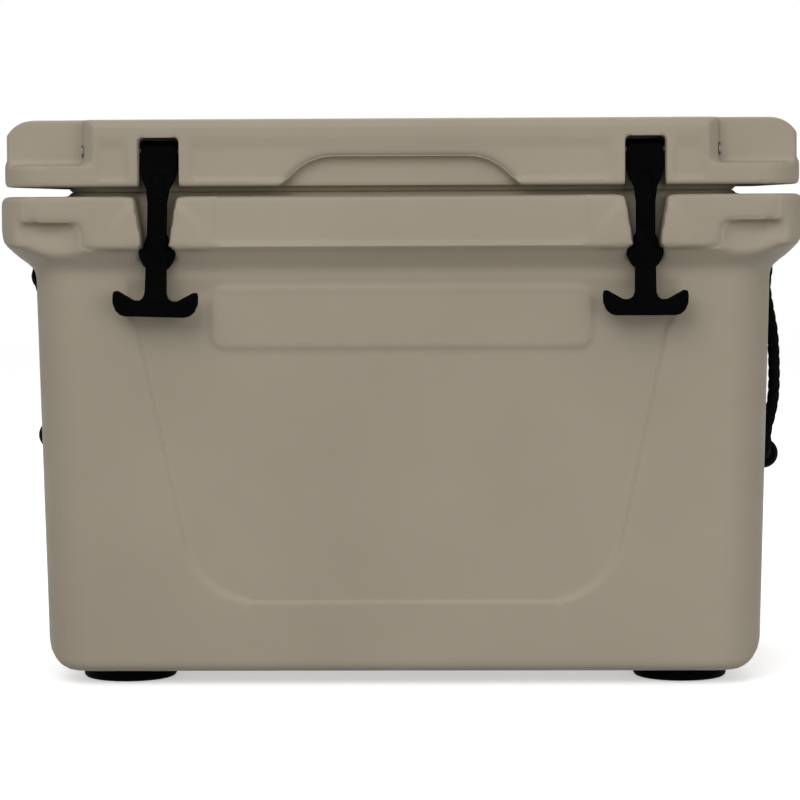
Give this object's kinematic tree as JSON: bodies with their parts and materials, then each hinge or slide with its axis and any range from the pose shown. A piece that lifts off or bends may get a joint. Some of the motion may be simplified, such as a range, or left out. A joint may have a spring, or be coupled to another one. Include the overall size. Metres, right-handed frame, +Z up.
{
  "type": "hard cooler",
  "caption": "Rotomoulded hard cooler with hinged insulated lid, rubber T latches, rope handles with hand grips, drain plug and non-slip feet.",
  "frame": {"origin": "floor level under the middle of the cooler, centred on its whole length and depth", "axes": "+X to the right along the cooler's length as seen from the latch side, -Y towards the latch side, +Z up"},
  "size_m": [0.67, 0.408, 0.475],
  "materials": {
    "tan_shell": "satin",
    "foam": "matte",
    "black_rubber": "matte",
    "black_plastic": "satin",
    "black_rope": "matte",
    "seal_rubber": "matte",
    "steel": "satin"
  },
  "bodies": {
    "cooler_body": {"body_shell": "tan_shell", "body_foam": "foam", "body_fill_plugs": "black_plastic", "foot_front_left": "black_rubber", "foot_front_right": "black_rubber", "foot_back_left": "black_rubber", "foot_back_right": "black_rubber", "foot_screws": "steel", "drain_bushing": "black_plastic", "drain_flange_seal": "seal_rubber", "drain_locknut": "black_plastic", "left_rope_knots": "black_rope", "right_rope_knots": "black_rope", "left_hinge_pin": "steel", "right_hinge_pin": "steel", "hinge_pin_clips": "steel"},
    "lid": {"lid_shell": "tan_shell", "lid_foam": "foam", "lid_fill_plugs": "black_plastic", "lid_gasket": "seal_rubber", "left_latch_pin": "steel", "right_latch_pin": "steel"},
    "left_latch_top": {"left_latch_eye": "black_rubber"},
    "left_latch_pull": {"left_latch_grip": "black_rubber"},
    "right_latch_top": {"right_latch_eye": "black_rubber"},
    "right_latch_pull": {"right_latch_grip": "black_rubber"},
    "left_handle": {"left_handle_rope": "black_rope", "left_handle_grip": "black_rubber"},
    "right_handle": {"right_handle_rope": "black_rope", "right_handle_grip": "black_rubber"},
    "drain_plug_thread": {"drain_plug_oring": "black_rubber"},
    "drain_plug_cap": {"drain_plug": "black_plastic"}
  },
  "joints": [
    {"name": "lid_open", "type": "hinge", "parent": "cooler_body", "child": "lid", "pos_m": [0, 0.192, 0.414], "axis": [-1, 0, 0], "range_deg": [0, 95]},
    {"name": "left_latch_swing", "type": "hinge", "parent": "lid", "child": "left_latch_top", "pos_m": [-0.202, -0.182, 0.449], "axis": [-1, 0, 0], "range_deg": [0, 90]},
    {"name": "left_latch_stretch", "type": "slide", "parent": "left_latch_top", "child": "left_latch_pull", "axis": [0, 0, -1], "range_m": [0, 0.012], "stiffness_N_per_m": 1500, "deforming": ["left_latch_eye", "left_latch_grip"]},
    {"name": "right_latch_swing", "type": "hinge", "parent": "lid", "child": "right_latch_top", "pos_m": [0.202, -0.182, 0.449], "axis": [-1, 0, 0], "range_deg": [0, 90]},
    {"name": "right_latch_stretch", "type": "slide", "parent": "right_latch_top", "child": "right_latch_pull", "axis": [0, 0, -1], "range_m": [0, 0.012], "stiffness_N_per_m": 1500, "deforming": ["right_latch_eye", "right_latch_grip"]},
    {"name": "left_handle_swing", "type": "hinge", "parent": "cooler_body", "child": "left_handle", "pos_m": [-0.314, 0, 0.35], "axis": [0, 1, 0], "range_deg": [0, 90]},
    {"name": "right_handle_swing", "type": "hinge", "parent": "cooler_body", "child": "right_handle", "pos_m": [0.314, 0, 0.35], "axis": [0, -1, 0], "range_deg": [0, 90]},
    {"name": "drain_plug_travel", "type": "slide", "parent": "cooler_body", "child": "drain_plug_thread", "axis": [1, 0, 0], "range_m": [0, 0.0062]},
    {"name": "drain_plug_turn", "type": "hinge", "parent": "drain_plug_thread", "child": "drain_plug_cap", "pos_m": [0.285, 0, 0.074], "axis": [1, 0, 0], "range_deg": [0, 720]}
  ],
  "couplings": [
    {"joint": "drain_plug_travel", "follows": "drain_plug_turn", "m_per_rad": 0.00047746}
  ]
}
